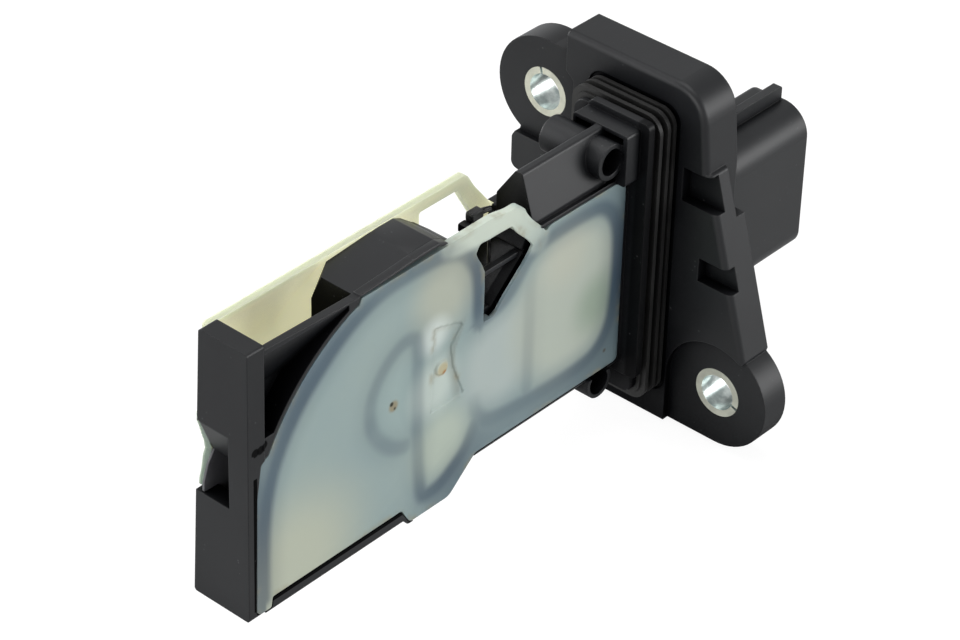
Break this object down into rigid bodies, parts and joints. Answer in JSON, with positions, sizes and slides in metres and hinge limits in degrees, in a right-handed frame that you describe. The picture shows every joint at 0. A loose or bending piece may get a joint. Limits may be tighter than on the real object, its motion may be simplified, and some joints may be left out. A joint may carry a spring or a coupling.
{
  "type": "mass airflow sensor",
  "caption": "Plug-in mass airflow sensor: flat bypass blade with moulded side covers, a lipped seal ring, a screw flange with metal bushes and a plug socket.",
  "frame": {"origin": "midway between the two screw holes, in the plane of the flange's seat face", "axes": "+X from the blade's tip through the flange to the connector, +Z across the blade towards the duct's mouth, +Y towards the far cover"},
  "size_m": [0.096, 0.0428, 0.0472],
  "materials": {
    "housing_plastic": "satin moulded glass-filled plastic",
    "near_cover_plastic": "satin, slightly see-through natural plastic",
    "far_cover_plastic": "satin natural plastic",
    "seal_rubber": "matte moulded rubber",
    "bush_metal": "zinc plated rolled steel",
    "bead_glass": "glossy dark bead",
    "lead_metal": "tinned wire",
    "board_laminate": "solder mask",
    "package_resin": "moulding resin",
    "chip_silicon": "polished die",
    "capacitor_ceramic": "fired ceramic",
    "terminal_metal": "tinned brass"
  },
  "bodies": {
    "root": {"housing": "housing_plastic", "near_cover": "near_cover_plastic", "far_cover": "far_cover_plastic", "seal_ring": "seal_rubber", "upper_bush": "bush_metal", "lower_bush": "bush_metal", "air_thermistor": "bead_glass", "thermistor_lead_near": "lead_metal", "thermistor_lead_far": "lead_metal", "circuit_board": "board_laminate", "sensor_package": "package_resin", "flow_chip": "chip_silicon", "controller": "package_resin", "capacitor_1": "capacitor_ceramic", "capacitor_2": "capacitor_ceramic", "capacitor_3": "capacitor_ceramic", "terminal_1": "terminal_metal", "terminal_2": "terminal_metal", "terminal_3": "terminal_metal", "terminal_4": "terminal_metal", "terminal_5": "terminal_metal", "terminal_6": "terminal_metal"}
  },
  "joints": []
}
